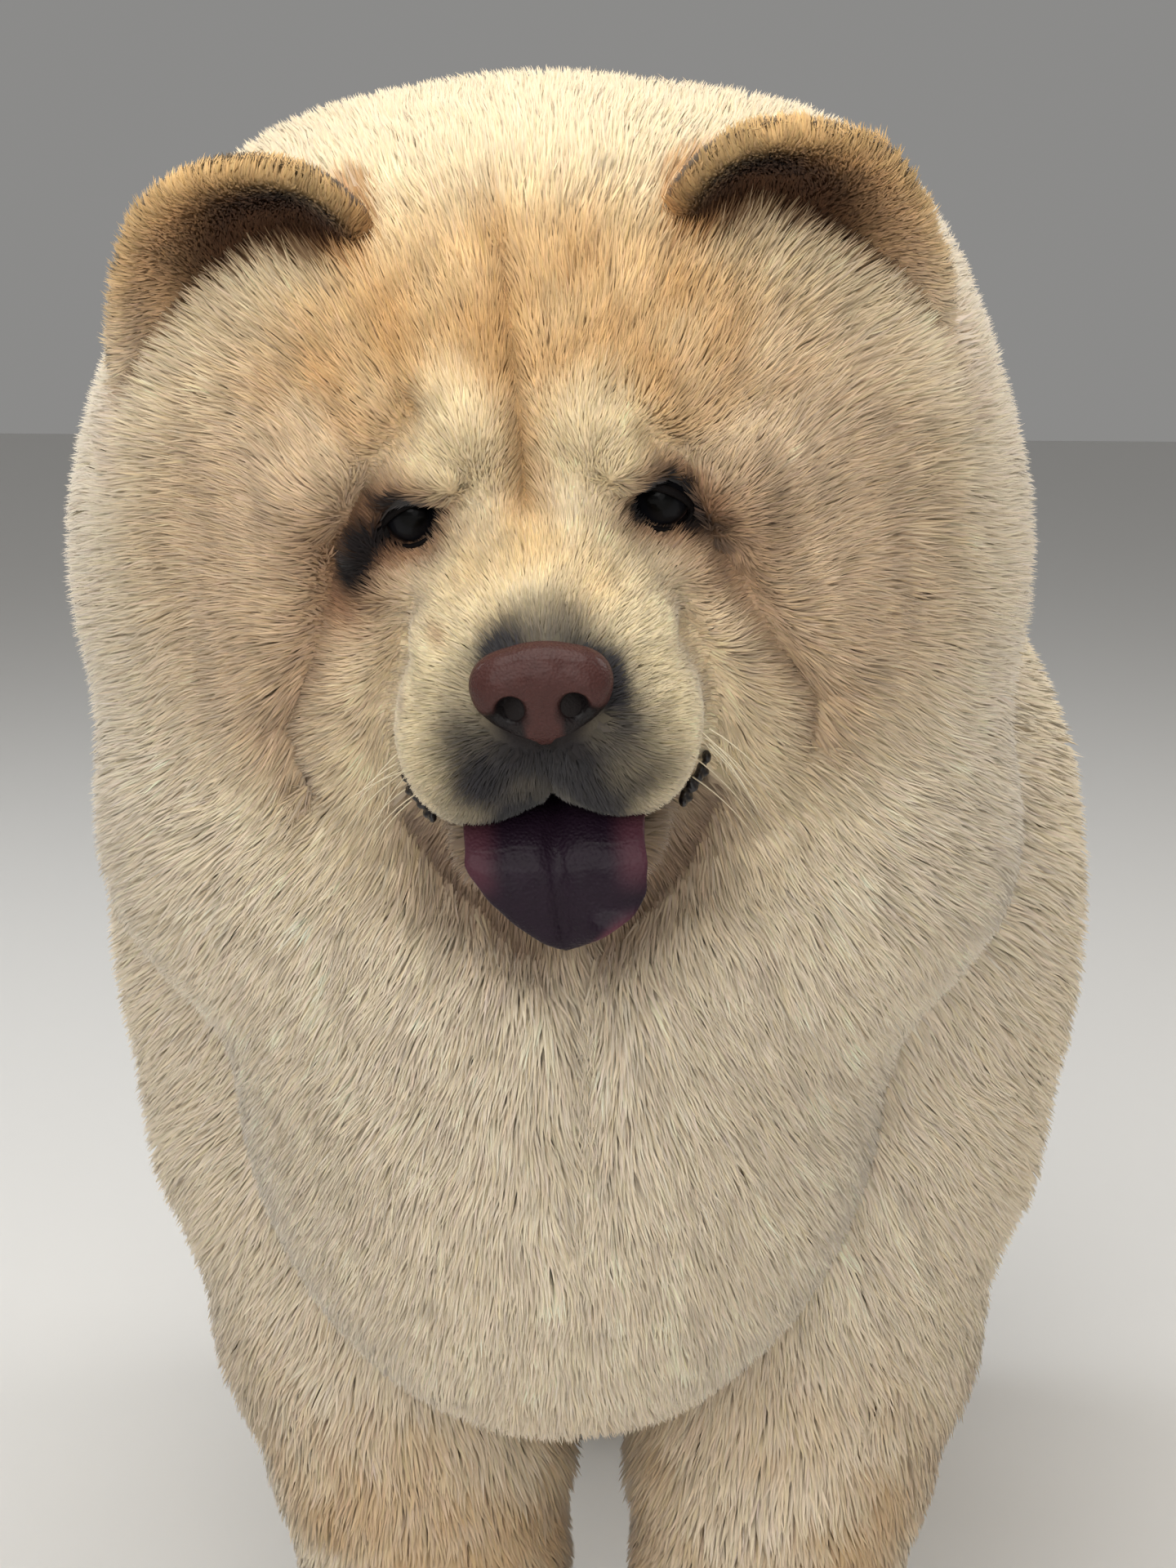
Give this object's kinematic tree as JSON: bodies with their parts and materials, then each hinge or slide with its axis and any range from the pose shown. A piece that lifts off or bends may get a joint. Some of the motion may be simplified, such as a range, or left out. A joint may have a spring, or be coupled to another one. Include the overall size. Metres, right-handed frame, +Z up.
{
  "type": "chow chow standing life-size still model",
  "caption": "Life-size still model of a standing rough-coated chow chow with a round mane, small hooded ears, open mouth with hanging dark tongue and a tail curled over the back.",
  "frame": {"origin": "on the floor under the middle of the dog's outline box, between the four feet", "axes": "-Y is the way the dog faces, +X its own left side, +Z up"},
  "size_m": [0.3998, 0.7941, 0.6904],
  "materials": {
    "coat": "dense soft plush cream fur",
    "ear_coat": "short orange-tan fur, dark brown inside",
    "eye": "wet gloss, very dark brown",
    "nose_leather": "damp pebbled skin, brown-mauve",
    "tongue": "wet, blue-black",
    "claw": "smooth horn"
  },
  "bodies": {
    "root": {"head": "coat", "muzzle": "coat", "lower_jaw": "coat", "neck": "coat", "chest": "coat", "trunk_front": "coat", "trunk_rear": "coat", "foreleg_left_upper": "coat", "foreleg_left_lower": "coat", "foreleg_left_paw": "coat", "foreleg_right_upper": "coat", "foreleg_right_lower": "coat", "foreleg_right_paw": "coat", "hindleg_left_upper": "coat", "hindleg_left_lower": "coat", "hindleg_left_paw": "coat", "hindleg_right_upper": "coat", "hindleg_right_lower": "coat", "hindleg_right_paw": "coat", "tail_root": "coat", "tail_plume": "coat", "ear_left": "ear_coat", "ear_right": "ear_coat", "eye_left": "eye", "eye_right": "eye", "nose": "nose_leather", "tongue": "tongue"}
  },
  "joints": []
}
